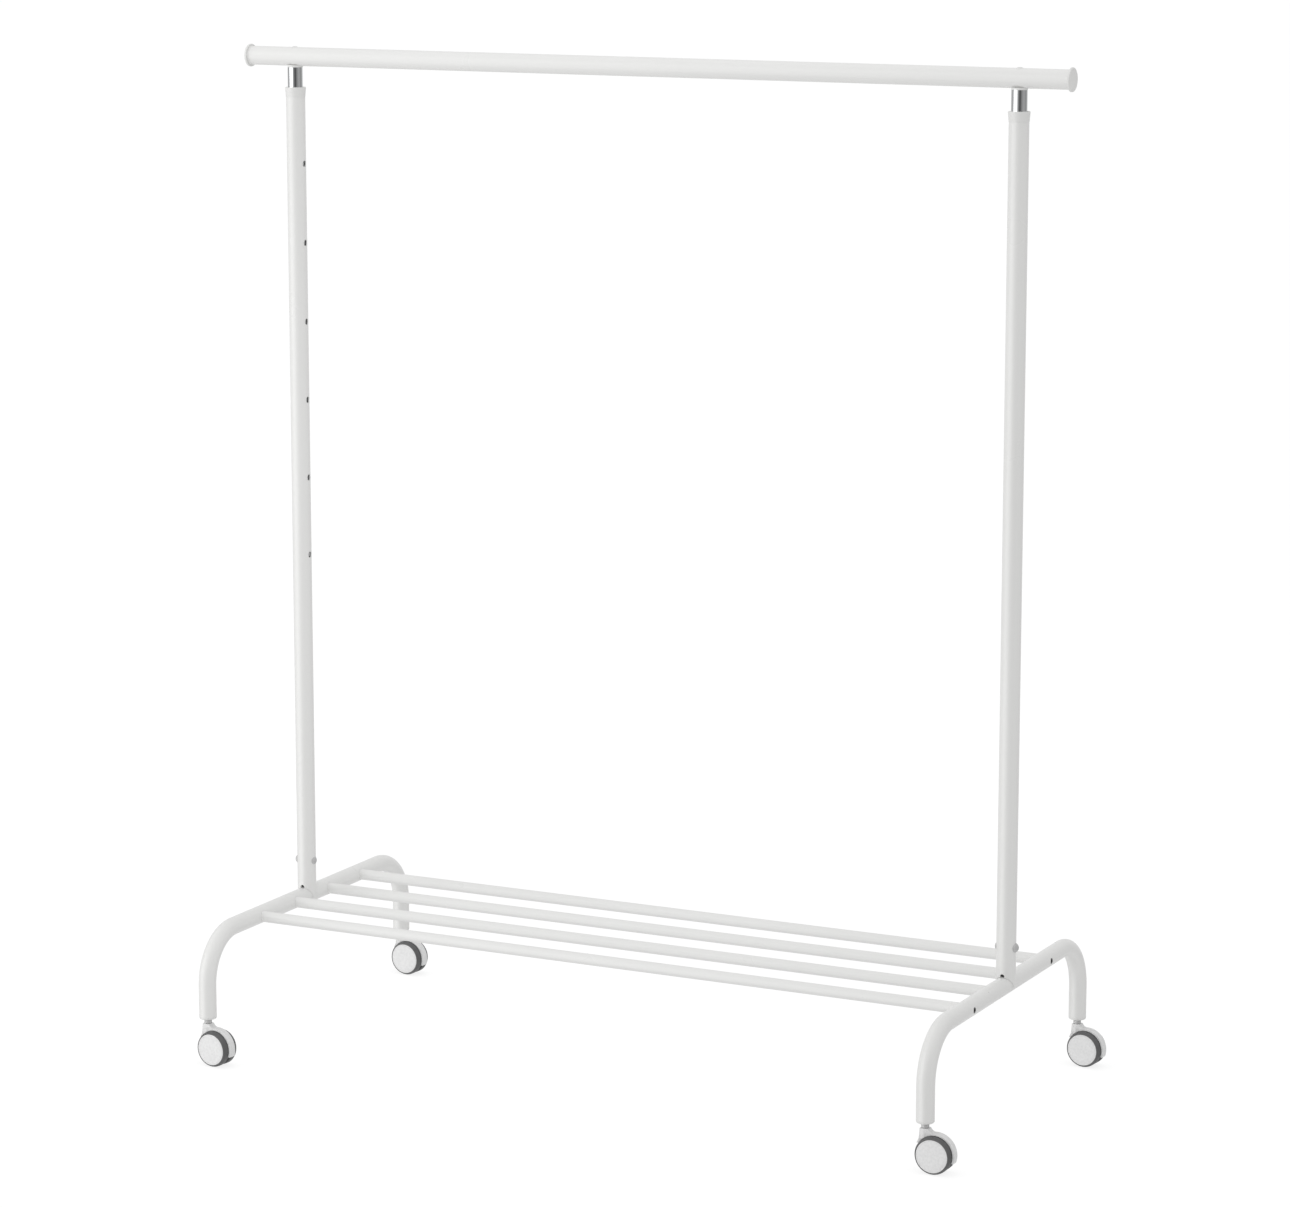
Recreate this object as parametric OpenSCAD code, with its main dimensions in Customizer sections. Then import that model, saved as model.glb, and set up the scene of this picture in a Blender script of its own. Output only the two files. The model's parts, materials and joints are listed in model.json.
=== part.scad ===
// Rolling clothes rack with a hanging rail on two telescopic posts, a shelf of
// four tubes between two end frames, and four twin-wheel casters.
// X runs along the rail, Y from front to back, Z up. The origin is on the floor,
// under the middle of the rack.

/* [Rack] */
// Overall length along the rail, over the end caps
rack_l = 1110; // [1060:10:1300]
// Height of the top of the rail in the lowest position
rack_h = 1259; // [1240:1:1400]
// Distance between the two posts
post_spacing = 977; // [760:1:1010]
// Distance between the front and back legs
leg_spacing = 488; // [400:2:600]

/* [Hanging rail] */
// Outer diameter of the rail
rail_d = 23.5; // [23:0.5:25]
// Wall of the rail
rail_wall = 1.2; // [1:0.1:1.4]
// Diameter of the end caps' flanges
cap_d = 28.5; // [28:0.5:32]
// Thickness of the end caps' flanges
cap_flange = 3; // [2:0.5:5]
// Gap between the rail and each inner tube, filled by a saddle
saddle_h = 1.5; // [1.5:0.5:4]

/* [Posts] */
// Outer diameter of the posts
post_d = 24; // [24:0.5:27]
// Wall of the posts
post_wall = 1.5; // [1.2:0.1:1.5]
// Length of chrome tube that shows in the lowest position
chrome_shown = 25; // [10:0.5:40]
// Outer diameter of the inner tubes
inner_d = 19; // [18.5:0.1:19.2]
// Wall of the inner tubes
inner_wall = 1.2; // [1:0.1:1.4]
// How much wider than the posts the collars are at the top
collar_flare = 2.2; // [2.2:0.2:5]
// Outside height of the collars
collar_h = 12; // [9:1:20]

/* [Height holes] */
// Number of locking holes in each post
hole_count = 6; // [3:1:6]
// Distance between the locking holes
hole_pitch = 100; // [60:5:100]
// Height of the lowest locking hole above the floor
hole_z = 613; // [600:1:640]
// Diameter of the locking holes
hole_d = 8; // [7.5:0.1:8.5]

/* [End frames] */
// Outer diameter of the bent tube
frame_d = 22; // [21.5:0.5:22]
// Wall of the bent tube
frame_wall = 1.5; // [1.2:0.1:1.5]
// Height of the top tube's axis
frame_z = 163.5; // [162:0.5:190]
// Bend radius at the middle of the tube
bend_r = 62; // [55:1:62]
// Height of the bottom of the steel legs
leg_z = 61.5; // [61:0.5:62]
// Height of the bolts that hold the posts, above the top tube's axis
bolt_rise = 46.5; // [40:0.5:60]

/* [Shelf] */
// Outer diameter of the shelf tubes
shelf_d = 14; // [12:0.5:16]
// Wall of the shelf tubes
shelf_wall = 1.2; // [1:0.1:1.4]
// Distance between the shelf tubes
shelf_pitch = 82.5; // [60:0.5:84]

/* [Casters] */
// Diameter of the wheels
wheel_d = 45; // [44:0.5:46]
// Width of each tyre
tyre_w = 10.2; // [9:0.1:11]
// Diameter of the white disc in each wheel
disc_d = 39.4; // [37:0.1:41]
// Distance from the swivel axis back to the axle
caster_trail = 13.5; // [13:0.5:15]
// Width of the hood between the wheels
hood_w = 10; // [9:0.2:10.6]
// Height of the top of the hood
hood_top = 52.4; // [52:0.1:53]
// Angle that each caster has swivelled: front left, front right, back left, back right
caster_turn = [-7, 0, -5, -5]; // [-180:1:180]

/* [Hidden] */
$fn = 96;
CORNERS = ["fl", "fr", "bl", "br"];

// Clearance of a sliding or turning fit on each side
fit = 0.08;
// Gap between parts that only touch
seat = 0.02;

// Length that a cutting tool runs past what it cuts
over = 60;

rail_z = rack_h - rail_d / 2;
rail_l = rack_l - 2 * cap_flange;
post_x = post_spacing / 2;
leg_y = leg_spacing / 2;
inner_top = rail_z - rail_d / 2 - saddle_h;
inner_bottom = hole_z - 18;
post_bore_r = post_d / 2 - post_wall;
inner_bore_r = inner_d / 2 - inner_wall;
collar_d = post_d + collar_flare;
collar_top = inner_top - chrome_shown;
post_top = collar_top - 3.5;
collar_bore_r = inner_d / 2 + fit;
bush_l = 24;
post_bottom = frame_z - 2.5;
notch_w = frame_d + 0.6;
drain_d = 5.6;
drain_rise = 1.2;
bolt_z = frame_z + bolt_rise;
spigot_r = post_bore_r - 0.3;
spigot_wall = 1.5;
spigot_top = bolt_z + 22;
bolt_d = 6;
screw_d = 6;
shank_hole_d = screw_d + 0.5;
shelf_count = 4;
shelf_end = post_x + 5;
shelf_screw_d = 4;
shelf_screw_head_d = 7;
button_d = 7;
button_back = 1.6;
button_tip_r = post_bore_r - 0.3;
stem_d = 8;
pivot_d = 6;
stem_collar_d = 9.6;
stem_top = leg_z + 34;
socket_flange = 3;
socket_l = 40;
grip_z = leg_z + 24;
grip_h = 4;
wheel_r = wheel_d / 2;
axle_d = 5;
axle_boss_r = 9;
web_w = 4.2;
wheel_gap = 0.5;
disc_t = 1.8;
tyre_inner_y = web_w / 2 + wheel_gap;
tyre_outer_y = tyre_inner_y + tyre_w;
hood_r = wheel_r + 2.7;
hood_clear_r = wheel_r + 0.5;
neck_d = 10;
neck_foot_d = 12;
neck_h = 12;
neck_fillet = 7;
pivot_l = 9;
white = [0.93, 0.93, 0.92];
chrome = [0.78, 0.79, 0.8];
zinc = [0.6, 0.61, 0.62];
dark = [0.25, 0.25, 0.26];

// ---------- small helpers ----------

module tube(d, wall, h) {
    difference() {
        cylinder(d = d, h = h);
        translate([0, 0, -1])
            cylinder(d = d - 2 * wall, h = h + 2);
    }
}

// A cylinder along X, centred on the origin
module rod_x(d, l) {
    rotate([0, 90, 0])
        cylinder(d = d, h = l, center = true);
}

// A cylinder along Y, centred on the origin
module rod_y(d, l) {
    rotate([90, 0, 0])
        cylinder(d = d, h = l, center = true);
}

// A shallow dome on a round base at z = 0
module dome(d, h) {
    cap_r = (d * d / 4 + h * h) / (2 * h);
    rotate_extrude()
        intersection() {
            translate([0, h - cap_r])
                circle(r = cap_r, $fn = 480);
            square([d / 2, h]);
        }
}

// A hexagonal socket, open upwards, with its floor at z = 0
module hex_socket(across_flats, h) {
    cylinder(d = across_flats / cos(30), h = h, $fn = 6);
}

// A bent strip through points in the X-Z plane, centred on Y
module strip(points, thickness, width) {
    rotate([90, 0, 0])
        linear_extrude(width, center = true) {
            for (i = [0 : len(points) - 2]) {
                step = points[i + 1] - points[i];
                translate(points[i])
                    rotate(atan2(step.y, step.x))
                        translate([0, -thickness / 2])
                            square([norm(step), thickness]);
            }
            for (p = points)
                translate(p)
                    circle(d = thickness);
        }
}

// Places a part on the left end, or mirrors it to the right end. Parts are drawn
// for a left post that stands on the Z axis, with the rack's middle towards +X.
module at_end(side) {
    if (side == "left")
        translate([-post_x, 0, 0]) children();
    else
        mirror([1, 0, 0]) translate([-post_x, 0, 0]) children();
}

module at_both_ends() {
    at_end("left") children();
    at_end("right") children();
}

// Angle that a corner's caster has swivelled
function turn_of(corner) = caster_turn[search([corner], CORNERS)[0]];

// Places of the four legs, front or back and left or right
function leg_place(corner) = [
    corner[1] == "l" ? -post_x : post_x,
    corner[0] == "f" ? -leg_y : leg_y,
    0
];
function shelf_y(i) = (i - (shelf_count - 1) / 2) * shelf_pitch;

// ---------- hanging rail ----------

module hanging_rail() {
    color(white)
        difference() {
            translate([0, 0, rail_z])
                rod_x(rail_d, rail_l);
            translate([0, 0, rail_z])
                rod_x(rail_d - 2 * rail_wall, rail_l + over);
            for (x = [-post_x, post_x])
                translate([x, 0, rail_z])
                    cylinder(d = shank_hole_d, h = over, center = true);
        }
}

// Plastic end cap with a rounded flange and a plug inside the rail
module rail_cap(side) {
    plug_r = rail_d / 2 - rail_wall - seat;
    plug_l = 14;
    edge = 1.2;
    color(white)
        at_end(side)
            translate([post_x - rack_l / 2, 0, rail_z])
                rotate([0, 90, 0])
                    rotate_extrude() {
                        square([cap_d / 2 - edge, cap_flange]);
                        translate([0, edge])
                            square([cap_d / 2, cap_flange - edge]);
                        translate([cap_d / 2 - edge, edge])
                            circle(r = edge);
                        square([plug_r, cap_flange + plug_l]);
                    }
}

// Plastic saddle that fits the round underside of the rail
module rail_saddle(side) {
    saddle_d = inner_d + 0.4;
    lip_h = 1.6;
    overlap = 1.2;
    color(white)
        at_end(side)
            difference() {
                union() {
                    translate([0, 0, inner_top + seat])
                        cylinder(d = saddle_d, h = saddle_h + overlap);
                    translate([0, 0, inner_top - lip_h])
                        cylinder(r = inner_bore_r - 0.1, h = lip_h + 1);
                }
                translate([0, 0, rail_z])
                    rod_x(rail_d + 2 * seat, over);
                translate([0, 0, inner_top])
                    cylinder(d = shank_hole_d, h = over, center = true);
            }
}

// Screws down through the rail and the saddles into the inner tubes
module rail_screws() {
    head_d = 11;
    head_z = rack_h - 1.3;
    shank_z = inner_top - 16;
    color(white)
        at_both_ends() {
            difference() {
                translate([0, 0, head_z])
                    dome(head_d, 2.6);
                translate([0, 0, rail_z])
                    rod_x(rail_d + 2 * seat, over);
                translate([0, 0, rack_h + 0.3])
                    hex_socket(4, 4);
            }
            translate([0, 0, shank_z])
                cylinder(d = screw_d, h = rack_h + 0.2 - shank_z);
        }
}

// ---------- telescopic posts ----------

module inner_tube(side) {
    color(chrome)
        at_end(side)
            difference() {
                translate([0, 0, inner_bottom])
                    tube(inner_d, inner_wall, inner_top - inner_bottom);
                translate([inner_d / 2, 0, hole_z])
                    rod_x(button_d + 2 * fit, inner_d);
            }
}

// Threaded plugs pressed into the tops of the inner tubes
module inner_tube_inserts() {
    insert_h = 18;
    color(zinc)
        at_both_ends()
            translate([0, 0, inner_top - 2 - insert_h])
                tube(2 * (inner_bore_r - seat), inner_bore_r - screw_d / 2 - 2 * seat, insert_h);
}

// Plastic guide on the bottom of an inner tube, sliding in the post
module inner_tube_glide(side) {
    flange_h = 6;
    plug_h = 8;
    color(dark)
        at_end(side)
            translate([0, 0, inner_bottom]) {
                translate([0, 0, -flange_h - seat])
                    cylinder(r = post_bore_r - fit, h = flange_h);
                translate([0, 0, -flange_h / 2])
                    cylinder(r = inner_bore_r - seat, h = flange_h / 2 + plug_h);
            }
}

// Spring button, shown pressed in: its tip is just inside the post
module lock_button(side) {
    tip_round = 2;
    length = button_tip_r - button_back;
    color(zinc)
        at_end(side)
            translate([0, 0, hole_z])
                rotate([0, 90, 0])
                    rotate_extrude()
                        translate([0, button_back]) {
                            square([button_d / 2 + 0.8, 1]);
                            square([button_d / 2, length - tip_round]);
                            square([button_d / 2 - tip_round, length]);
                            translate([button_d / 2 - tip_round, length - tip_round])
                                intersection() {
                                    circle(r = tip_round);
                                    square(tip_round);
                                }
                        }
}

// Bent leaf springs behind the buttons, inside the inner tubes
module button_springs() {
    leaf = 0.6;
    leaf_w = 4.4;
    back_x = button_back - leaf / 2 - seat;
    wall_x = -inner_bore_r + leaf / 2 + 0.45;
    bend = [[-3, 36], [-4.2, 38], [-5.4, 36]];
    color(zinc)
        at_both_ends()
            translate([0, 0, hole_z])
                strip(concat([[back_x, -5], [back_x, 5]], bend, [[wall_x, 5], [wall_x, -5]]), leaf, leaf_w);
}

// Small gaps on top of the end frame that let paint and water out of a post
module drain_gap() {
    translate([0, 0, frame_z + frame_d / 2 + drain_rise])
        rod_y(drain_d, post_d + 1);
}

module post(side) {
    color(white)
        at_end(side)
            difference() {
                translate([0, 0, post_bottom])
                    tube(post_d, post_wall, post_top - post_bottom);
                // notch that straddles the end frame
                translate([0, 0, frame_z]) {
                    rod_y(notch_w, over);
                    translate([0, 0, -over / 2])
                        cube([notch_w, over, over], center = true);
                }
                drain_gap();
                for (i = [0 : hole_count - 1])
                    translate([post_d / 2, 0, hole_z + i * hole_pitch])
                        rod_x(hole_d, post_d);
                translate([0, 0, bolt_z])
                    rod_x(bolt_d + 0.6, over);
            }
}

// Flared plastic collar: a skirt round the post, and a bush that guides the tube
module post_collar(side) {
    post_r = post_d / 2 + seat;
    bush_r = post_bore_r - seat;
    color(white)
        at_end(side)
            translate([0, 0, collar_top])
                rotate_extrude()
                    polygon([
                        [collar_bore_r, 0],
                        [collar_d / 2 - 1, 0],
                        [collar_d / 2 - 0.3, -0.3],
                        [collar_d / 2, -1],
                        [collar_d / 2 - 0.1, -3],
                        [post_r + 0.5, -collar_h],
                        [post_r, -collar_h],
                        [post_r, post_top - collar_top],
                        [bush_r, post_top - collar_top],
                        [bush_r, -bush_l],
                        [collar_bore_r, -bush_l]
                    ]);
}

// ---------- end frames ----------

// The bent tube's shape at one diameter: two legs, two bends and the top tube
module frame_sweep(d, extra) {
    straight_z = frame_z - bend_r;
    for (s = [-1, 1]) {
        translate([0, s * leg_y, leg_z - extra])
            cylinder(d = d, h = straight_z - leg_z + extra);
        translate([0, s * (leg_y - bend_r), straight_z])
            rotate([0, -90, 0])
                rotate_extrude(angle = s * 90)
                    translate([bend_r, 0])
                        circle(d = d);
    }
    translate([0, 0, frame_z])
        rod_y(d, leg_spacing - 2 * bend_r);
}

// Bent end frame with the stub that holds the post
module end_frame(side) {
    color(white)
        at_end(side)
            difference() {
                union() {
                    frame_sweep(frame_d, 0);
                    difference() {
                        translate([0, 0, frame_z])
                            cylinder(r = spigot_r, h = spigot_top - frame_z);
                        translate([0, 0, frame_z - 1])
                            cylinder(r = spigot_r - spigot_wall, h = over + spigot_top - frame_z);
                        translate([0, 0, frame_z])
                            rod_y(frame_d - 0.2, over);
                        drain_gap();
                    }
                }
                frame_sweep(frame_d - 2 * frame_wall, 1);
                translate([0, 0, bolt_z])
                    rod_x(bolt_d + 0.6, over);
                for (i = [0 : shelf_count - 1])
                    translate([frame_d / 2, shelf_y(i), frame_z])
                        rod_x(shelf_d + 0.2, frame_d);
                for (i = [0, shelf_count - 1])
                    translate([-frame_d / 2, shelf_y(i), frame_z])
                        rod_x(shelf_screw_head_d + 0.4, frame_d / 2);
            }
}

// Bolts through the posts and the stubs, heads outwards
module post_bolts() {
    head_d = 12.4;
    head_r = post_d / 2 - 1.4;
    head_top = post_d / 2 + 3.8;
    color(zinc)
        at_both_ends()
            translate([0, 0, bolt_z]) {
                rotate([0, -90, 0])
                    difference() {
                        translate([0, 0, head_r])
                            dome(head_d, head_top - head_r);
                        rotate([0, 90, 0])
                            cylinder(r = post_d / 2 + seat, h = over, center = true);
                        translate([0, 0, head_top - 2.2])
                            hex_socket(4, 4);
                    }
                translate([-1.5, 0, 0])
                    rod_x(bolt_d, post_d + 2.4);
            }
}

// Domed nuts on the inner sides of the posts
module post_nuts() {
    nut_d = 11.6;
    nut_r = post_d / 2 - 1.2;
    nut_top = post_d / 2 + 2.2;
    color(zinc)
        at_both_ends()
            translate([0, 0, bolt_z])
                difference() {
                    rotate([0, 90, 0])
                        translate([0, 0, nut_r])
                            dome(nut_d, nut_top - nut_r);
                    cylinder(r = post_d / 2 + seat, h = over, center = true);
                    translate([nut_r, 0, 0])
                        rod_x(bolt_d + 2 * seat, 4);
                }
}

// ---------- shelf ----------

module shelf_tube(i) {
    color(white)
        translate([0, shelf_y(i), frame_z])
            difference() {
                rod_x(shelf_d, 2 * shelf_end);
                rod_x(shelf_d - 2 * shelf_wall, 2 * shelf_end + over);
            }
}

// Threaded plugs in the ends of the front and back shelf tubes
module shelf_tube_plugs() {
    plug_l = 20;
    plug_x = post_x - shelf_end;
    spacer_l = 3.6;
    color(zinc)
        for (i = [0, shelf_count - 1])
            at_both_ends()
                translate([0, shelf_y(i), frame_z])
                    difference() {
                        union() {
                            translate([plug_x + plug_l / 2, 0, 0])
                                rod_x(shelf_d - 2 * shelf_wall - 2 * seat, plug_l);
                            translate([plug_x - spacer_l / 2, 0, 0])
                                rod_x(2 * shelf_screw_d, spacer_l + 1);
                        }
                        rod_x(shelf_screw_d + 2 * seat, over);
                    }
}

// Screws through the end frames into the plugs
module shelf_screws() {
    head_x = -frame_d / 2 + 0.5;
    head_h = 1.3;
    shank_l = 16.2;
    color(dark)
        for (i = [0, shelf_count - 1])
            at_both_ends()
                translate([0, shelf_y(i), frame_z])
                    difference() {
                        union() {
                            translate([head_x + head_h / 2, 0, 0])
                                rod_x(shelf_screw_head_d, head_h);
                            translate([head_x + head_h + shank_l / 2 - 0.1, 0, 0])
                                rod_x(shelf_screw_d, shank_l);
                        }
                        translate([head_x + 0.7, 0, 0])
                            rotate([0, -90, 0])
                                hex_socket(3, 3);
                    }
}

// ---------- casters ----------

// Plastic sockets in the legs, with a rounded flange under each leg
module leg_sockets() {
    bore = stem_d / 2 + 0.1;
    leg_bore_r = frame_d / 2 - frame_wall - seat;
    flange_r = frame_d / 2;
    groove = 1.4;
    groove_z = grip_z - leg_z + grip_h / 2;
    color(white)
        for (corner = CORNERS)
            translate(leg_place(corner) + [0, 0, leg_z - seat])
                rotate_extrude()
                    polygon([
                        [bore, -socket_flange],
                        [flange_r - 1.6, -socket_flange],
                        [flange_r - 0.5, -socket_flange + 0.5],
                        [flange_r, -socket_flange + 1.6],
                        [flange_r, 0],
                        [leg_bore_r, 0],
                        [leg_bore_r, socket_l],
                        [bore, socket_l],
                        [bore, groove_z + grip_h],
                        [bore + groove, groove_z + grip_h - 1],
                        [bore + groove, groove_z - grip_h + 1],
                        [bore, groove_z - grip_h]
                    ]);
}

// Spring rings that hold the stems in the sockets
module stem_grip_rings() {
    color(zinc)
        for (corner = CORNERS)
            translate(leg_place(corner) + [0, 0, grip_z])
                difference() {
                    tube(stem_d + 1.8, 0.8, grip_h);
                    // the slit that lets the ring spring
                    translate([0, -0.5, -1])
                        cube([stem_d, 1, grip_h + 2]);
                }
}

// Steel stem: upper end in the socket, collar, and a thinner pivot that the hood turns on
module caster_stem(corner) {
    collar_z = hood_top + 0.3;
    collar_l = leg_z - socket_flange - 2 * seat - collar_z;
    tip_h = 1;
    groove_slack = 0.2;
    color(zinc)
        translate(leg_place(corner))
            difference() {
                union() {
                    translate([0, 0, hood_top - pivot_l])
                        cylinder(d = pivot_d, h = pivot_l + 1);
                    translate([0, 0, collar_z])
                        cylinder(d = stem_collar_d, h = collar_l);
                    translate([0, 0, collar_z])
                        cylinder(d = stem_d, h = stem_top - tip_h - collar_z);
                    translate([0, 0, stem_top - tip_h])
                        cylinder(d1 = stem_d, d2 = stem_d - 2 * tip_h, h = tip_h);
                }
                // groove for the grip ring
                translate([0, 0, grip_z - groove_slack])
                    tube(stem_d + 2, 1.2, grip_h + 2 * groove_slack);
            }
}

// Turns a caster part round its leg's axis. Casters are drawn trailing towards +X.
module at_caster(corner) {
    translate(leg_place(corner))
        rotate(turn_of(corner))
            children();
}

// Outline of the hood in the X-Z plane, with the swivel axis at x = 0
module hood_outline() {
    fillet_x = neck_d / 2 + neck_fillet;
    dx = caster_trail - fillet_x;
    fillet_z = wheel_r + sqrt(pow(hood_r + neck_fillet, 2) - dx * dx);
    difference() {
        union() {
            translate([caster_trail, wheel_r])
                circle(r = hood_r);
            polygon([
                [-neck_d / 2, hood_top],
                [fillet_x, hood_top],
                [fillet_x, wheel_r],
                [caster_trail - hood_r + 2, wheel_r + 10],
                [-neck_foot_d / 2, hood_top - neck_h]
            ]);
        }
        translate([fillet_x, fillet_z])
            circle(r = neck_fillet);
    }
}

// Parts of the hood's outline that are cut away: everything under a line from the
// neck's foot to the axle, and a line from there down to the back
module hood_cut() {
    translate([caster_trail, wheel_r])
        polygon([
            [0, 0],
            [over, -0.35 * over],
            [over, -over],
            [-over, -over],
            [-over, 12],
            [-18, 12]
        ]);
}

// White hood: fender over both wheels, web between them, and the neck
module caster_hood(corner) {
    color(white)
        at_caster(corner)
            difference() {
                union() {
                    rotate([90, 0, 0])
                        linear_extrude(hood_w, center = true)
                            difference() {
                                hood_outline();
                                hood_cut();
                                translate([caster_trail, wheel_r])
                                    circle(r = hood_clear_r);
                            }
                    rotate([90, 0, 0])
                        linear_extrude(web_w, center = true) {
                            difference() {
                                hood_outline();
                                hood_cut();
                            }
                            translate([caster_trail, wheel_r])
                                circle(r = axle_boss_r);
                        }
                    difference() {
                        translate([0, 0, hood_top - neck_h])
                            cylinder(d1 = neck_foot_d, d2 = neck_d, h = neck_h);
                        translate([caster_trail, 0, wheel_r])
                            rod_y(2 * hood_clear_r, over);
                    }
                }
                // swivel bore for the stem's pivot
                translate([0, 0, hood_top - pivot_l - 1])
                    cylinder(d = pivot_d + 2 * fit, h = over);
                // hole for the axle
                translate([caster_trail, 0, wheel_r])
                    rod_y(axle_d + 2 * seat, over);
            }
}

module caster_axle(corner) {
    color(zinc)
        at_caster(corner)
            translate([caster_trail, 0, wheel_r])
                rod_y(axle_d, 2 * (tyre_outer_y - disc_t));
}

// Moves a wheel part to its place. Wheels are drawn round Z, outer face upwards.
module at_wheel(corner, face) {
    at_caster(corner)
        translate([caster_trail, 0, wheel_r])
            rotate([face == "outer" ? 90 : -90, 0, 0])
                children();
}

// White hub: a slightly domed disc with a rim and a bearing boss behind it
module hub(corner, face) {
    rim_in = tyre_inner_y + 0.4;
    rim_wall = 1.6;
    disc_out = tyre_outer_y + 0.2;
    disc_in = disc_out - disc_t;
    boss_d = 10;
    color(white)
        at_wheel(corner, face)
            difference() {
                union() {
                    translate([0, 0, disc_in])
                        cylinder(d = disc_d, h = disc_t);
                    translate([0, 0, disc_out])
                        dome(disc_d, 1.1);
                    translate([0, 0, rim_in])
                        tube(disc_d, rim_wall, disc_in - rim_in);
                    translate([0, 0, rim_in])
                        cylinder(d = boss_d, h = disc_in - rim_in);
                }
                translate([0, 0, rim_in - 1])
                    cylinder(d = axle_d + 2 * fit, h = disc_in + 0.6 - rim_in + 1);
            }
}

// Dark tyre with rounded shoulders
module tyre(corner, face) {
    inner_r = disc_d / 2 + seat;
    shoulder = 0.45 * (wheel_r - inner_r);
    color(dark)
        at_wheel(corner, face)
            translate([0, 0, tyre_outer_y - tyre_w])
                rotate_extrude() {
                    translate([inner_r, 0])
                        square([wheel_r - inner_r - shoulder, tyre_w]);
                    translate([inner_r, shoulder])
                        square([wheel_r - inner_r, tyre_w - 2 * shoulder]);
                    for (y = [shoulder, tyre_w - shoulder])
                        translate([wheel_r - shoulder, y])
                            circle(r = shoulder);
                }
}

// ---------- parts ----------

hanging_rail();
rail_cap("left");  // rail_cap_left
rail_cap("right");  // rail_cap_right
rail_saddle("left");  // rail_saddle_left
rail_saddle("right");  // rail_saddle_right
rail_screws();
inner_tube("left");  // inner_tube_left
inner_tube("right");  // inner_tube_right
inner_tube_inserts();
inner_tube_glide("left");  // inner_tube_glide_left
inner_tube_glide("right");  // inner_tube_glide_right
lock_button("left");  // lock_button_left
lock_button("right");  // lock_button_right
button_springs();
post("left");  // post_left
post("right");  // post_right
post_collar("left");  // post_collar_left
post_collar("right");  // post_collar_right
end_frame("left");  // end_frame_left
end_frame("right");  // end_frame_right
post_bolts();
post_nuts();
shelf_tube(0);  // shelf_tube_1
shelf_tube(1);  // shelf_tube_2
shelf_tube(2);  // shelf_tube_3
shelf_tube(3);  // shelf_tube_4
shelf_tube_plugs();
shelf_screws();
leg_sockets();
stem_grip_rings();
for (corner = CORNERS) {
    caster_stem(corner);
    caster_hood(corner);
    caster_axle(corner);
    for (face = ["outer", "inner"]) {
        hub(corner, face);
        tyre(corner, face);
    }
}
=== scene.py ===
import json
import math

import bmesh
import bpy
from mathutils import Matrix, Vector


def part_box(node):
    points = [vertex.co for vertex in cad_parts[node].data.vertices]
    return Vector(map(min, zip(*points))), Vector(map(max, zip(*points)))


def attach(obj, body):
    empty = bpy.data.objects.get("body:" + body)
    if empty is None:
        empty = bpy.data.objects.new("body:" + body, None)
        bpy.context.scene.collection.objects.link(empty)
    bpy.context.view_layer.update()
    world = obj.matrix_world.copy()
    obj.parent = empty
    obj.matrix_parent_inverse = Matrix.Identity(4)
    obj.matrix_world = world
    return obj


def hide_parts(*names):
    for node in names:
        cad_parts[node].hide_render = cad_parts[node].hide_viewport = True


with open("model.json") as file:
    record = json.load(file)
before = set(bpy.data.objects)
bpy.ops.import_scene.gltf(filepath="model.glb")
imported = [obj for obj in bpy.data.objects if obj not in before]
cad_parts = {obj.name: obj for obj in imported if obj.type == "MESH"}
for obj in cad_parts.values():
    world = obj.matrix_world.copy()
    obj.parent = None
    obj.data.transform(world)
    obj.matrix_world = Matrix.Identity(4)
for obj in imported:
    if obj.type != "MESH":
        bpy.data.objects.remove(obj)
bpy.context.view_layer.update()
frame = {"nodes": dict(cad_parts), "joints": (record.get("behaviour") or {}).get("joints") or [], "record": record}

joints = {joint["name"]: joint for joint in frame["joints"]}
slots = {part["node"]: part["material_slot"] for part in frame["record"]["subparts"]}
CORNERS = ("fl", "fr", "bl", "br")
SIDES = ("left", "right")
MM = 0.001
# gap left between pieces that touch, in mm
SEAT = 0.02

# ---------- camera ----------

# angle round the rack and tilt down in degrees, place in metres, lens and sensor in mm
CAMERA_AZIMUTH = 26.62
CAMERA_TILT = 10.46
CAMERA_PLACE = (2.363, -4.708, 1.5605)
CAMERA_LENS = 121.1
CAMERA_SENSOR = 36
CAMERA_CLIP = (0.05, 200)


def make_camera():
    data = bpy.data.cameras.new("camera")
    data.lens = CAMERA_LENS
    data.sensor_width = CAMERA_SENSOR
    data.clip_start, data.clip_end = CAMERA_CLIP
    camera = bpy.data.objects.new("camera", data)
    camera.location = CAMERA_PLACE
    camera.rotation_euler = (math.radians(90 - CAMERA_TILT), 0, math.radians(CAMERA_AZIMUTH))
    bpy.context.scene.collection.objects.link(camera)
    bpy.context.scene.camera = camera


# ---------- node graphs ----------

def add(tree, kind, inputs=None, **settings):
    """Adds a shader node. inputs maps its sockets to values, or to the outputs that feed them."""
    made = tree.nodes.new(kind)
    for name, value in settings.items():
        setattr(made, name, value)
    for key, value in (inputs or {}).items():
        if isinstance(value, bpy.types.NodeSocket):
            tree.links.new(value, made.inputs[key])
        else:
            made.inputs[key].default_value = value
    return made


def ramp(tree, factor, stops):
    """A grey ramp through (position, level) stops."""
    made = add(tree, "ShaderNodeValToRGB", {"Fac": factor})
    elements = made.color_ramp.elements
    while len(elements) < len(stops):
        elements.new(0.5)
    for element, (position, level) in zip(elements, stops):
        element.position = position
        element.color = (level, level, level, 1)
    return made.outputs["Color"]


def spread_noise(tree, place, size, detail, low, high):
    """Noise in patches of a size in metres, whose usual values run from low to high."""
    noise = add(tree, "ShaderNodeTexNoise", {"Vector": place, "Scale": 1 / size, "Detail": detail})
    return add(tree, "ShaderNodeMapRange", {"Value": noise.outputs["Fac"], "From Min": 0.3, "From Max": 0.7,
                                            "To Min": low, "To Max": high}).outputs["Result"]


# ---------- studio ----------

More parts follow.
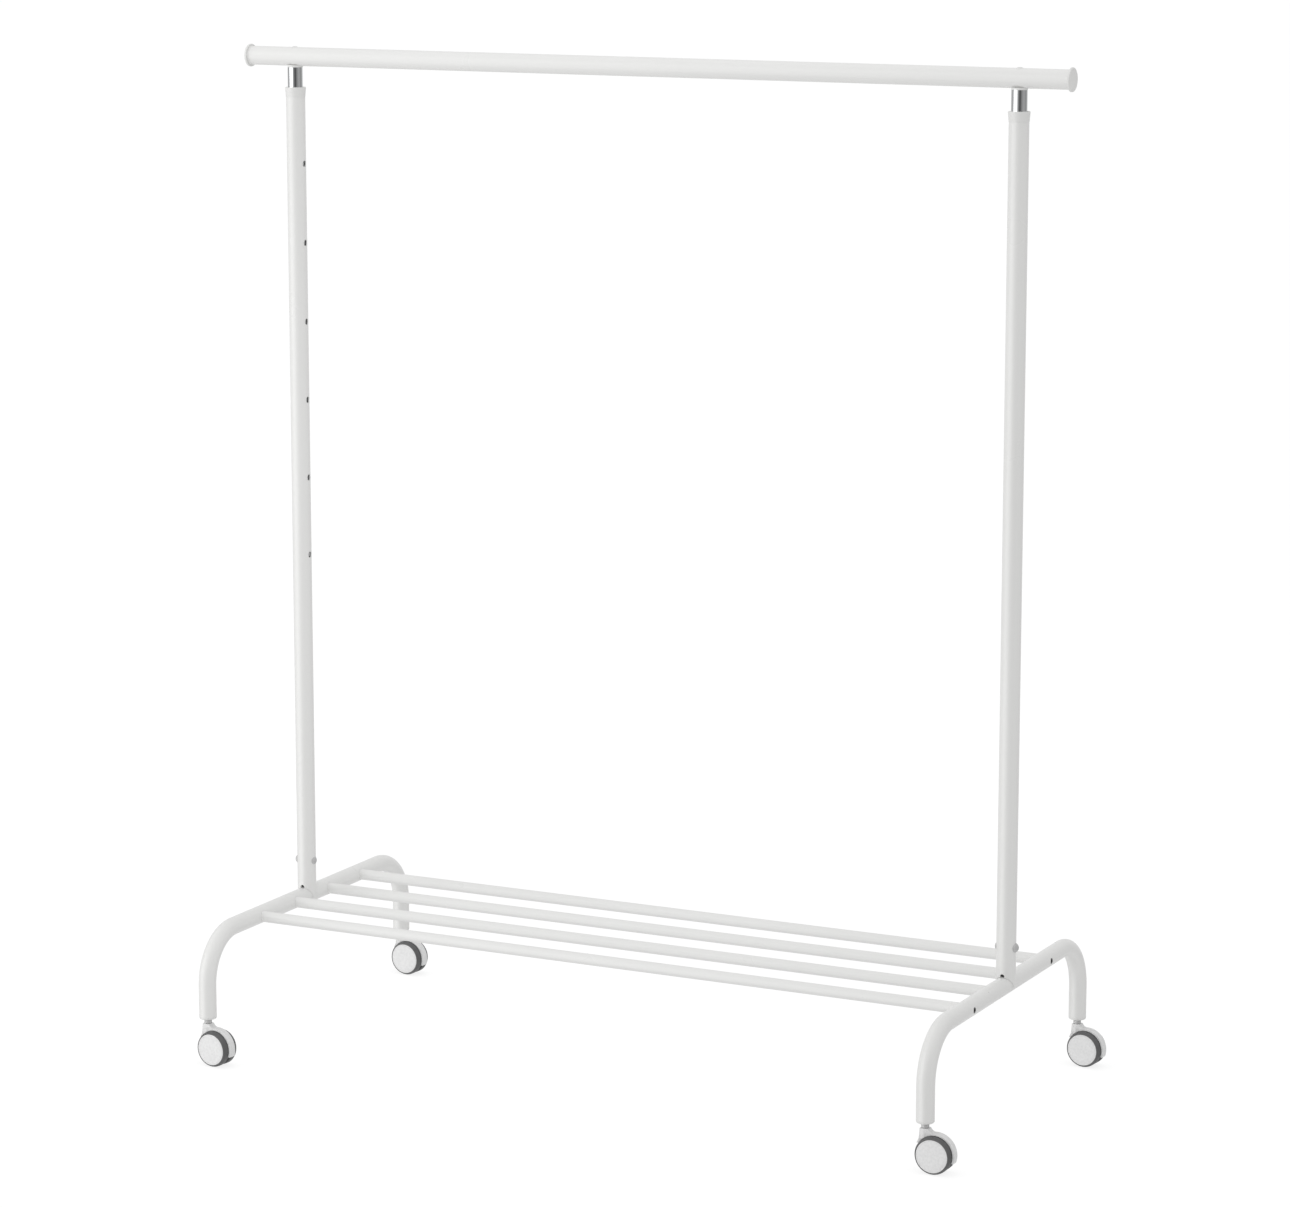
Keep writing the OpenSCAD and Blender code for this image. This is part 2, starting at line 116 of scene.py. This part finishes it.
# brightness seen in reflections, by angle from the camera's side of the studio with the left
# negative: a tall softbox on the left, the dark room behind the camera, white paper at the back
REFLECTED = (
    (-180, 0.8), (-160, 0.5), (-140, 0.42), (-100, 0.42), (-88, 2.2), (-46, 2.2), (-36, 0.65),
    (-18, 0.22), (4, 0.05), (16, 0.15), (40, 0.3), (62, 0.36), (94, 0.27), (125, 0.4), (150, 0.8),
)
REFLECTED_PEAK = 4.0
# brightness reflected from above and below, and the slopes between which it takes over
REFLECTED_STEEP = 0.85
STEEP_FROM, STEEP_TO = 0.4, 0.8
# brightness of the light that falls on the rack from below, level and above, and how much
# brighter it is from the left
BELOW, LEVEL, ABOVE = 0.75, 0.755, 0.82
SOFT_PEAK = 2.0
LEFT_BIAS = 0.02

FLOOR_HALF = 60
FLOOR_GREY = 0.24
FLOOR_GLOW = 0.82

# name, place, target, size in metres, power in watts and spread in degrees
AREA_LIGHTS = (
    ("left", (-5.0, -2.8, 1.2), (0, 0, 0.7), (3.0, 3.0), 78, 180),
    ("front", (1.2, -4.4, 1.3), (-0.8, -0.2, 0.7), (0.6, 0.6), 1.1, 36),
    ("top", (0, 0, 2.9), (0, 0, 0), (2.4, 1.6), 6, 180),
)


def reflected_light(tree, turned, parts):
    """The panels and the dark gap that shiny parts show, by angle round the rack."""
    around = add(tree, "ShaderNodeTexGradient", {"Vector": turned}, gradient_type="RADIAL")
    stops = sorted(((angle / 360 + 0.25) % 1, level / REFLECTED_PEAK) for angle, level in REFLECTED)
    level = add(tree, "ShaderNodeMath", {0: ramp(tree, around.outputs["Fac"], stops), 1: REFLECTED_PEAK},
                operation="MULTIPLY").outputs[0]
    steep = add(tree, "ShaderNodeMath", {0: parts.outputs["Z"]}, operation="ABSOLUTE").outputs[0]
    steep = add(tree, "ShaderNodeMapRange", {"Value": steep, "From Min": STEEP_FROM, "From Max": STEEP_TO},
                interpolation_type="SMOOTHSTEP").outputs["Result"]
    return add(tree, "ShaderNodeMix", {"Factor": steep, 2: level, 3: REFLECTED_STEEP}).outputs[0]


def falling_light(tree, parts):
    """The soft light on the rack, by height and a little by side."""
    height = add(tree, "ShaderNodeMapRange", {"Value": parts.outputs["Z"], "From Min": -1, "From Max": 1})
    stops = ((0, BELOW / SOFT_PEAK), (0.5, LEVEL / SOFT_PEAK), (1, ABOVE / SOFT_PEAK))
    soft = add(tree, "ShaderNodeMath", {0: ramp(tree, height.outputs["Result"], stops), 1: SOFT_PEAK},
               operation="MULTIPLY").outputs[0]
    lean = add(tree, "ShaderNodeMath", {0: parts.outputs["X"], 1: -LEFT_BIAS, 2: 1.0},
               operation="MULTIPLY_ADD").outputs[0]
    return add(tree, "ShaderNodeMath", {0: soft, 1: lean}, operation="MULTIPLY").outputs[0]


def make_world():
    """White where the camera looks; panels and a dark gap in reflections; soft light elsewhere."""
    world = bpy.data.worlds.new("studio")
    bpy.context.scene.world = world
    world.use_nodes = True
    tree = world.node_tree
    tree.nodes.clear()
    direction = add(tree, "ShaderNodeTexCoord").outputs["Generated"]
    to_camera_side = (0, 0, math.radians(-CAMERA_AZIMUTH))
    turned = add(tree, "ShaderNodeMapping", {"Vector": direction, "Rotation": to_camera_side}).outputs["Vector"]
    parts = add(tree, "ShaderNodeSeparateXYZ", {"Vector": turned})
    reflected = reflected_light(tree, turned, parts)
    soft = falling_light(tree, parts)

    path = add(tree, "ShaderNodeLightPath").outputs
    seen = add(tree, "ShaderNodeMix", {"Factor": path["Is Glossy Ray"], 2: soft, 3: reflected}).outputs[0]
    seen = add(tree, "ShaderNodeMix", {"Factor": path["Is Camera Ray"], 2: seen, 3: 1.0}).outputs[0]
    background = add(tree, "ShaderNodeBackground", {"Color": (1, 1, 1, 1), "Strength": seen})
    add(tree, "ShaderNodeOutputWorld", {"Surface": background.outputs[0]})


def make_floor():
    """Plain white floor. Its bounce is part of the world's light, so only the camera sees it."""
    mesh = bpy.data.meshes.new("floor")
    corners = [(x * FLOOR_HALF, y * FLOOR_HALF, 0) for x, y in ((-1, -1), (1, -1), (1, 1), (-1, 1))]
    mesh.from_pydata(corners, [], [(0, 1, 2, 3)])
    floor = bpy.data.objects.new("floor", mesh)
    bpy.context.scene.collection.objects.link(floor)
    material = bpy.data.materials.new("floor_white")
    material.use_nodes = True
    shader = material.node_tree.nodes["Principled BSDF"]
    shader.inputs["Base Color"].default_value = (FLOOR_GREY, FLOOR_GREY, FLOOR_GREY, 1)
    shader.inputs["Roughness"].default_value = 1.0
    shader.inputs["Specular IOR Level"].default_value = 0
    shader.inputs["Emission Color"].default_value = (1, 1, 1, 1)
    shader.inputs["Emission Strength"].default_value = FLOOR_GLOW
    mesh.materials.append(material)
    floor.visible_diffuse = False
    floor.visible_glossy = False
    floor.visible_shadow = False


def make_area_light(name, place, target, size, power, spread):
    data = bpy.data.lights.new(name, "AREA")
    data.shape = "RECTANGLE"
    data.size, data.size_y = size
    data.energy = power
    data.spread = math.radians(spread)
    light = bpy.data.objects.new(name, data)
    light.location = place
    light.rotation_euler = (Vector(target) - Vector(place)).to_track_quat("-Z", "Y").to_euler()
    light.visible_glossy = False
    bpy.context.scene.collection.objects.link(light)


def make_studio():
    make_world()
    make_floor()
    for light in AREA_LIGHTS:
        make_area_light(*light)
    view = bpy.context.scene.view_settings
    view.view_transform = "Standard"
    view.look = "None"
    view.exposure = 0
    view.gamma = 1


# ---------- materials ----------

def surface(name, colour, roughness, metallic=0.0, spread=0.03, rough_spread=0.08, patch=0.05,
            grain=0.0012, bump=0.05, depth=0.0001, lines=(1, 1, 1)):
    """A finish with slight colour patches, uneven gloss and a fine surface grain.

    colour: base colour. spread: how far its patches vary, of size patch in metres.
    rough_spread: how far the roughness varies, in patches a third of that size.
    grain: size of the surface grain in metres. bump and depth: how strong it is.
    lines: the grain's frequency along X, Y and Z.
    """
    material = bpy.data.materials.new(name)
    material.use_nodes = True
    tree = material.node_tree
    shader = tree.nodes["Principled BSDF"]
    shader.inputs["Metallic"].default_value = metallic
    place = add(tree, "ShaderNodeTexCoord").outputs["Object"]
    place = add(tree, "ShaderNodeMapping", {"Vector": place, "Scale": lines}).outputs["Vector"]

    tint = spread_noise(tree, place, patch, 4, 1 - spread, 1)
    tinted = add(tree, "ShaderNodeVectorMath", {0: colour, "Scale": tint}, operation="SCALE")
    tree.links.new(tinted.outputs["Vector"], shader.inputs["Base Color"])

    swing = roughness * rough_spread
    rough = spread_noise(tree, place, patch / 3, 3, roughness - swing, roughness + swing)
    tree.links.new(rough, shader.inputs["Roughness"])

    fine = add(tree, "ShaderNodeTexNoise", {"Vector": place, "Scale": 1 / grain, "Detail": 2})
    relief = add(tree, "ShaderNodeBump", {"Strength": bump, "Distance": depth, "Height": fine.outputs["Fac"]})
    tree.links.new(relief.outputs["Normal"], shader.inputs["Normal"])
    return material


def make_materials():
    """One finish for each of the record's material slots."""
    return {
        "white_paint": surface("white_powder_coat", (0.81, 0.81, 0.8), 0.3, spread=0.008,
                               rough_spread=0.1, patch=0.2, grain=0.0018, bump=0.04),
        "white_screw_paint": surface("white_screw_paint", (0.78, 0.78, 0.77), 0.28, grain=0.001, patch=0.004),
        "white_plastic": surface("white_plastic", (0.79, 0.79, 0.78), 0.42, spread=0.02,
                                 grain=0.0005, bump=0.15),
        "caster_white_plastic": surface("caster_plastic", (0.81, 0.81, 0.81), 0.4, spread=0.1, patch=0.003,
                                        rough_spread=0.2, grain=0.0007, bump=0.35),
        "chrome_tube": surface("chrome", (0.9, 0.91, 0.92), 0.06, metallic=1.0, spread=0.02,
                               rough_spread=0.3, grain=0.0004, bump=0.02, lines=(1, 1, 0.05)),
        "dark_plastic": surface("dark_plastic", (0.03, 0.03, 0.032), 0.5, grain=0.0005, bump=0.2),
        "zinc_steel": surface("zinc_steel", (0.6, 0.6, 0.6), 0.55, metallic=0.2, spread=0.12, patch=0.006,
                              rough_spread=0.25, grain=0.0006, bump=0.15),
        "dark_steel": surface("dark_zinc", (0.1, 0.1, 0.1), 0.4, metallic=1.0, spread=0.2, patch=0.004,
                              grain=0.0005, bump=0.2),
        "grey_tyre": surface("grey_tyre", (0.12, 0.12, 0.122), 0.55, spread=0.15, patch=0.01,
                             rough_spread=0.2, grain=0.0006, bump=0.3),
    }


def finish_cad_nodes():
    """Gives every CAD node the finish of its slot in the record."""
    for name, node in frame["nodes"].items():
        node.data.materials.clear()
        node.data.materials.append(materials[slots[name]])


# ---------- mesh helpers ----------

def body_of(node):
    """The body that a CAD node rides on."""
    return next(body for body, nodes in frame["record"]["behaviour"]["bodies"].items() if node in nodes)


def add_piece(name, shape, node, smooth_angle=35):
    """Makes a piece from a bmesh. It stands for a CAD node, and takes its body and finish."""
    mesh = bpy.data.meshes.new(name)
    shape.to_mesh(mesh)
    shape.free()
    mesh.shade_smooth()
    mesh.set_sharp_from_angle(angle=math.radians(smooth_angle))
    mesh.materials.append(materials[slots[node]])
    piece = bpy.data.objects.new(name, mesh)
    bpy.context.scene.collection.objects.link(piece)
    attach(piece, body_of(node))
    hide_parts(node)


def rounded(corners, closed=False, steps=5):
    """Points of a profile whose corners (x, y, radius) are rounded by arcs of their radius."""
    points = []
    last = len(corners) - 1
    for i, (x, y, radius) in enumerate(corners):
        here = Vector((x, y))
        if radius == 0 or (not closed and i in (0, last)):
            points.append(here)
            continue
        before = (Vector(corners[i - 1][:2]) - here).normalized()
        after = (Vector(corners[(i + 1) % len(corners)][:2]) - here).normalized()
        half = before.angle(after) / 2
        centre = here + (before + after).normalized() * radius / math.sin(half)
        start = here + before * radius / math.tan(half) - centre
        end = here + after * radius / math.tan(half) - centre
        for step in range(steps + 1):
            points.append(centre + start.slerp(end, step / steps).normalized() * radius)
    return points


def lathe(shape, profile, place, axis, closed=False, segments=96):
    """Adds a profile of (radius, height) points in mm to shape, turned round an axis at place."""
    turn = Matrix.Translation(Vector(place)) @ Vector(axis).to_track_quat("Z", "Y").to_matrix().to_4x4()
    rings = []
    for radius, height in profile:
        count = segments if radius > 1e-6 else 1
        angles = [2 * math.pi * i / segments for i in range(count)]
        points = [Vector((radius * math.cos(a), radius * math.sin(a), height)) * MM for a in angles]
        rings.append([shape.verts.new(turn @ point) for point in points])
    pairs = list(zip(rings, rings[1:]))
    if closed:
        pairs.append((rings[-1], rings[0]))
    faces = []
    for low, high in pairs:
        for i in range(segments):
            j = (i + 1) % segments
            corners = [low[i % len(low)], low[j % len(low)], high[j % len(high)], high[i % len(high)]]
            faces.append(shape.faces.new(list(dict.fromkeys(corners))))
    bmesh.ops.recalc_face_normals(shape, faces=faces)


def soften(node, name, width, angle=30, segments=3):
    """A copy of a CAD node whose edges sharper than angle are rounded, width in mm."""
    mesh = frame["nodes"][node].data.copy()
    if "custom_normal" in mesh.attributes:
        mesh.attributes.remove(mesh.attributes["custom_normal"])
    shape = bmesh.new()
    shape.from_mesh(mesh)
    bpy.data.meshes.remove(mesh)
    for edge in shape.edges:
        edge.smooth = True
    same_point, flat = 2e-6, math.radians(0.4)
    bmesh.ops.remove_doubles(shape, verts=shape.verts, dist=same_point)
    bmesh.ops.dissolve_limit(shape, angle_limit=flat, verts=shape.verts, edges=shape.edges)
    limit = math.radians(angle)
    sharp = [edge for edge in shape.edges if len(edge.link_faces) == 2 and edge.calc_face_angle() > limit]
    bmesh.ops.bevel(shape, geom=sharp, offset=width * MM, segments=segments, profile=0.5,
                    affect="EDGES", clamp_overlap=True, miter_outer="ARC")
    add_piece(name, shape, node)


# ---------- casters ----------

def make_wheel(corner, face):
    """Hub with a rimmed disc, and a tyre with round shoulders, in the places of the CAD's."""
    name = f"{face}_{corner}"
    hub_node, tyre_node = f"hub_{name}", f"tyre_{name}"
    centres = [Vector(joints[f"wheel_spin_{side}_{corner}"]["pos_m"]) for side in ("outer", "inner")]
    place = (centres[0] + centres[1]) / 2
    axis = (Vector(joints[f"wheel_spin_{name}"]["pos_m"]) - place).normalized()

    def reach(node):
        """Nearest and furthest distance of a node from the caster's middle plane, in mm."""
        distances = [(vertex.co - place).dot(axis) / MM for vertex in frame["nodes"][node].data.vertices]
        return min(distances), max(distances)

    def radius(node):
        low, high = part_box(node)
        return (high.z - low.z) / 2 / MM

    hub_back, hub_face = reach(hub_node)
    disc_r = radius(hub_node)
    bore_r, boss_r, rim_r = 2.58, 5.0, disc_r - 1.6
    disc_back = hub_face - 2.9
    bore_end = disc_back + 0.6
    # the disc is set back, so that a wheel on a turned caster stays inside the CAD's box
    crown_top = hub_face - 0.5
    crown_drop = 0.5
    crown_edge = crown_top - crown_drop
    groove_floor = crown_edge - 0.25
    crown_r = disc_r - 1.9
    crown_steps = 10
    shares = [step / crown_steps for step in range(crown_steps)]
    hub = bmesh.new()
    lathe(hub, rounded([(crown_r * share, crown_top - crown_drop * share ** 2, 0) for share in shares] + [
        (crown_r, crown_edge, 0.15), (disc_r - 1.65, groove_floor, 0.1), (disc_r - 1.35, groove_floor, 0.1),
        (disc_r - 1.1, crown_edge, 0.12), (disc_r, crown_edge - 0.1, 0.5), (disc_r, hub_back, 0.3),
        (rim_r, hub_back, 0.3), (rim_r, disc_back, 0.6), (boss_r, disc_back, 0.6), (boss_r, hub_back, 0.3),
        (bore_r, hub_back, 0.2), (bore_r, bore_end, 0), (0, bore_end, 0),
    ]), place, axis)
    add_piece(f"wheel_hub_{name}", hub, hub_node)

    tyre_back, tyre_face = reach(tyre_node)
    tyre_r = radius(tyre_node)
    middle = (tyre_back + tyre_face) / 2
    edge_r = tyre_r - 0.05
    seat_r = disc_r + SEAT
    tyre = bmesh.new()
    lathe(tyre, rounded([
        (seat_r, tyre_back, 0.2), (edge_r, tyre_back, 1.4), (tyre_r, middle, 20),
        (edge_r, tyre_face - 3.1, 2.5), (seat_r + 1.2, tyre_face, 0.9), (seat_r, tyre_face, 0.2),
    ], closed=True, steps=6), place, axis, closed=True, segments=128)
    add_piece(f"wheel_tyre_{name}", tyre, tyre_node)


def make_stem(corner):
    """Steel stem with a turned collar between the leg's socket and the hood."""
    low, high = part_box(f"caster_stem_{corner}")
    bottom, top = low.z / MM, high.z / MM
    hood_gap = 0.3
    collar_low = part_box(f"caster_hood_{corner}")[1].z / MM + hood_gap
    collar_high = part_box("leg_sockets")[0].z / MM - SEAT
    pivot_r, collar_r, stem_r = 3.0, 4.8, 4.0
    stem = bmesh.new()
    lathe(stem, rounded([
        (0, bottom, 0), (pivot_r, bottom, 0.4), (pivot_r, collar_low, 0), (collar_r, collar_low, 0.8),
        (collar_r, collar_high, 0.8), (stem_r, collar_high, 0), (stem_r, top, 1), (0, top, 0),
    ]), (*joints[f"caster_swivel_{corner}"]["pos_m"][:2], 0), (0, 0, 1), segments=64)
    add_piece(f"stem_{corner}", stem, f"caster_stem_{corner}")


def make_leg_sockets():
    """Plastic sockets whose rounded flanges close the ends of the legs."""
    low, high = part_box("leg_sockets")
    frame_low, frame_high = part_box("end_frame_left")
    leg_r = (frame_high.x - frame_low.x) / 2 / MM
    bore_r, plug_r = 4.1, leg_r - 1.52
    bottom, shoulder, top = low.z / MM, frame_low.z / MM - SEAT, high.z / MM
    sockets = bmesh.new()
    for corner in CORNERS:
        lathe(sockets, rounded([
            (bore_r, bottom, 0.4), (leg_r, bottom, 2.2), (leg_r, shoulder, 0.35), (plug_r, shoulder, 0),
            (plug_r, top, 0.5), (bore_r, top, 0.5),
        ], closed=True), (*joints[f"caster_swivel_{corner}"]["pos_m"][:2], 0), (0, 0, 1), closed=True)
    add_piece("leg_sockets_rounded", sockets, "leg_sockets")


def make_caster(corner):
    soften(f"caster_hood_{corner}", f"hood_{corner}", 0.45)
    make_stem(corner)
    for face in ("outer", "inner"):
        make_wheel(corner, face)


# ---------- posts and rail ----------

def make_post_collar(side):
    """Flared collar: a rounded lip, a skirt that tapers down the post, and the bush inside."""
    low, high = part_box(f"post_collar_{side}")
    post_low, post_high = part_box(f"post_{side}")
    tube_low, tube_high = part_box(f"inner_tube_{side}")
    top, bottom, post_top = high.z / MM, low.z / MM, post_high.z / MM
    lip_r = (high.x - low.x) / 2 / MM
    post_r = (post_high.x - post_low.x) / 2 / MM + SEAT
    slide_gap = 0.08
    bore_r = (tube_high.x - tube_low.x) / 2 / MM + slide_gap
    bush_r = post_r - 1.54
    lip_end, skirt_end = top - 2.4, top - 12
    collar = bmesh.new()
    lathe(collar, rounded([
        (bore_r, top, 0.5), (lip_r, top, 0.6), (lip_r - 0.1, lip_end, 6), (post_r + 0.2, skirt_end, 0.15),
        (post_r, skirt_end, 0), (post_r, post_top, 0), (bush_r, post_top, 0), (bush_r, bottom, 0.3),
        (bore_r, bottom, 0.3),
    ], closed=True), ((low.x + high.x) / 2, 0, 0), (0, 0, 1), closed=True)
    add_piece(f"collar_{side}", collar, f"post_collar_{side}")


def make_rail_cap(side):
    """End cap: a rounded flange, slightly dished, and its plug inside the rail."""
    low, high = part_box(f"rail_cap_{side}")
    rail_low, rail_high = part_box("hanging_rail")
    if side == "left":
        face_x, outwards, flange = low.x, -1, (rail_low.x - low.x) / MM
    else:
        face_x, outwards, flange = high.x, 1, (high.x - rail_high.x) / MM
    cap_r = (high.y - low.y) / 2 / MM
    plug_r = (rail_high.y - rail_low.y) / 2 / MM - 1.22
    length = (high.x - low.x) / MM
    dish = 0.35
    cap = bmesh.new()
    lathe(cap, rounded([
        (0, -dish, 0), (cap_r - 2.6, -dish, 0.8), (cap_r - 1.9, 0, 0.5), (cap_r, 0, 1.2),
        (cap_r, -flange, 0.5), (plug_r, -flange, 0), (plug_r, -length, 0.8), (0, -length, 0),
    ]), (face_x, 0, (low.z + high.z) / 2), (outwards, 0, 0))
    add_piece(f"cap_{side}", cap, f"rail_cap_{side}")


def make_fasteners():
    soften("rail_screws", "rail_screw_heads", 0.25)
    soften("post_bolts", "post_bolt_heads", 0.3)
    soften("post_nuts", "post_dome_nuts", 0.3)
    soften("shelf_screws", "shelf_screw_heads", 0.15)


make_camera()
make_studio()
materials = make_materials()
finish_cad_nodes()
for corner in CORNERS:
    make_caster(corner)
make_leg_sockets()
for side in SIDES:
    make_post_collar(side)
    make_rail_cap(side)
    soften(f"rail_saddle_{side}", f"saddle_{side}", 0.3)
make_fasteners()
